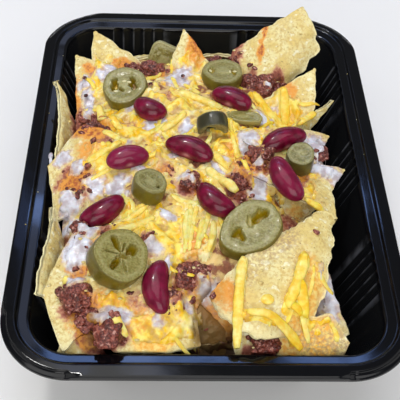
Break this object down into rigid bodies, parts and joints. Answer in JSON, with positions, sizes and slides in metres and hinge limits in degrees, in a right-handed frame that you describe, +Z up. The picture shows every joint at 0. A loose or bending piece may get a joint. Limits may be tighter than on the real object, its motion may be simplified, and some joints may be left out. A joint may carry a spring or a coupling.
{
  "type": "loaded nachos in a tray",
  "caption": "Tortilla chips heaped in a black ribbed tray, under mince, melted cheese, cheese shreds, kidney beans and pickled jalapeno slices.",
  "frame": {"origin": "middle of the tray's underside", "axes": "+X across the tray, +Y along it, +Z up"},
  "size_m": [0.137, 0.187, 0.0738],
  "materials": {
    "tray": "gloss",
    "heap": "matte",
    "bean": "gloss",
    "jalapeno": "satin"
  },
  "bodies": {
    "root": {"tray": "tray", "heap": "heap", "bean_1": "bean", "bean_2": "bean", "bean_3": "bean", "bean_4": "bean", "bean_5": "bean", "bean_6": "bean", "bean_7": "bean", "bean_8": "bean", "bean_9": "bean", "jalapeno_1": "jalapeno", "jalapeno_2": "jalapeno", "jalapeno_3": "jalapeno", "jalapeno_4": "jalapeno", "jalapeno_5": "jalapeno", "jalapeno_6": "jalapeno", "jalapeno_7": "jalapeno", "jalapeno_8": "jalapeno", "jalapeno_9": "jalapeno"}
  },
  "joints": []
}
